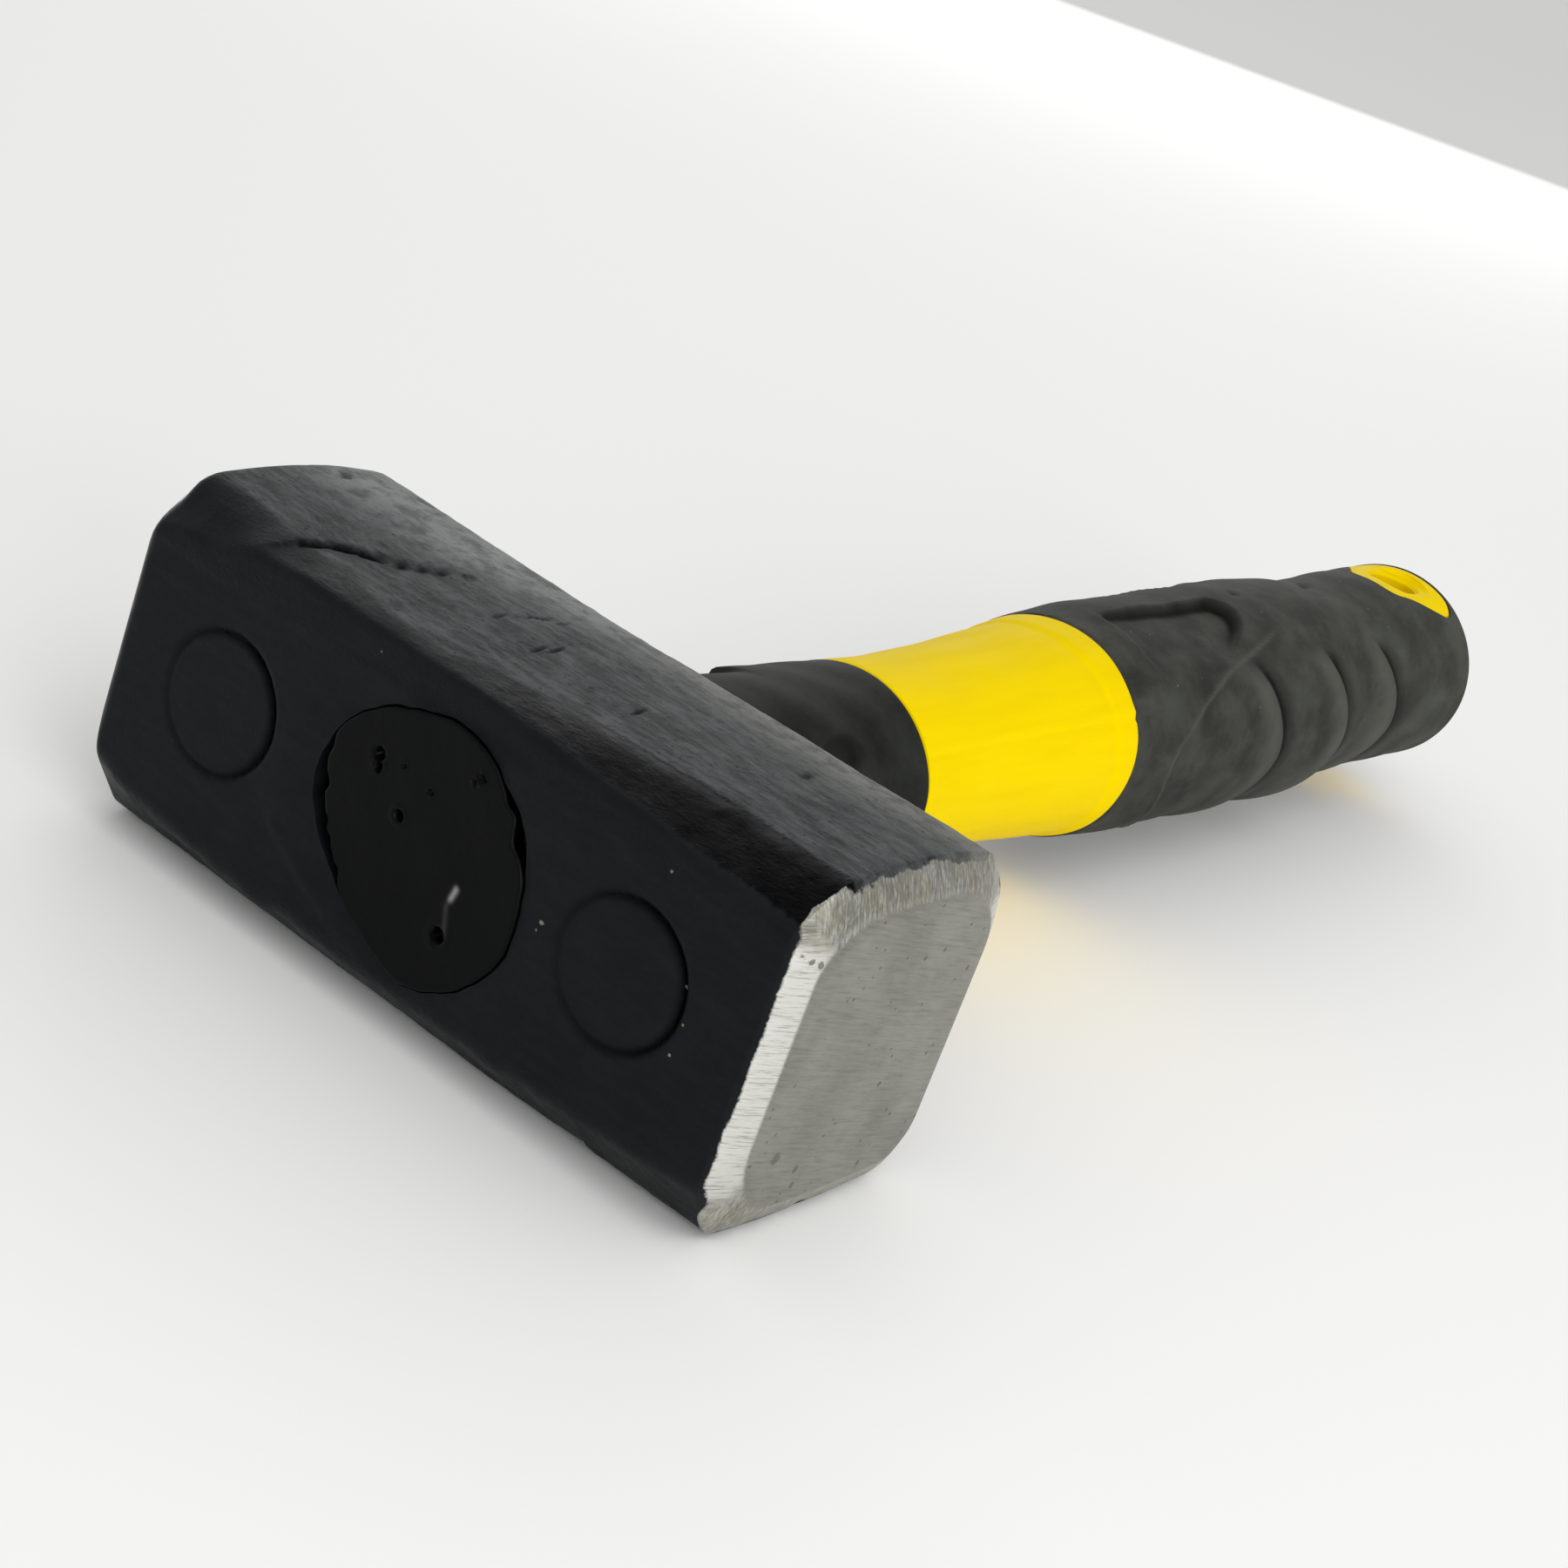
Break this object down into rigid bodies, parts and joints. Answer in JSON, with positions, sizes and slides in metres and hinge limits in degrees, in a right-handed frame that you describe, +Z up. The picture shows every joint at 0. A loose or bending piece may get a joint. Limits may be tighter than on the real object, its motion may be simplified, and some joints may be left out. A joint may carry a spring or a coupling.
{
  "type": "club hammer",
  "caption": "Double-faced club hammer with an octagonal forged head potted on a short fibreglass handle with a yellow jacket and a rubber grip.",
  "frame": {"origin": "middle of the lower cheek, straight under the centre of the eye", "axes": "+X along the handle from the head to the butt, +Y along the head, +Z up through both cheeks"},
  "size_m": [0.2784, 0.107, 0.0465],
  "materials": {
    "forged_steel": "satin black lacquer over forged scale, both striking faces ground bare and cross-brushed",
    "potting_resin": "glossy poured epoxy with bubbles",
    "seal_rubber": "matt",
    "fibreglass": "pultruded, fibres along the rod",
    "yellow_plastic": "moulded, satin gloss, with a parting line",
    "guard_rubber": "moulded thermoplastic rubber, matt",
    "grip_rubber": "moulded thermoplastic rubber, matt, dusty on the high spots"
  },
  "bodies": {
    "root": {"head": "forged_steel", "eye_resin": "potting_resin", "eye_seal": "seal_rubber", "core_rod": "fibreglass", "jacket": "yellow_plastic", "neck_guard": "guard_rubber", "grip": "grip_rubber"}
  },
  "joints": []
}
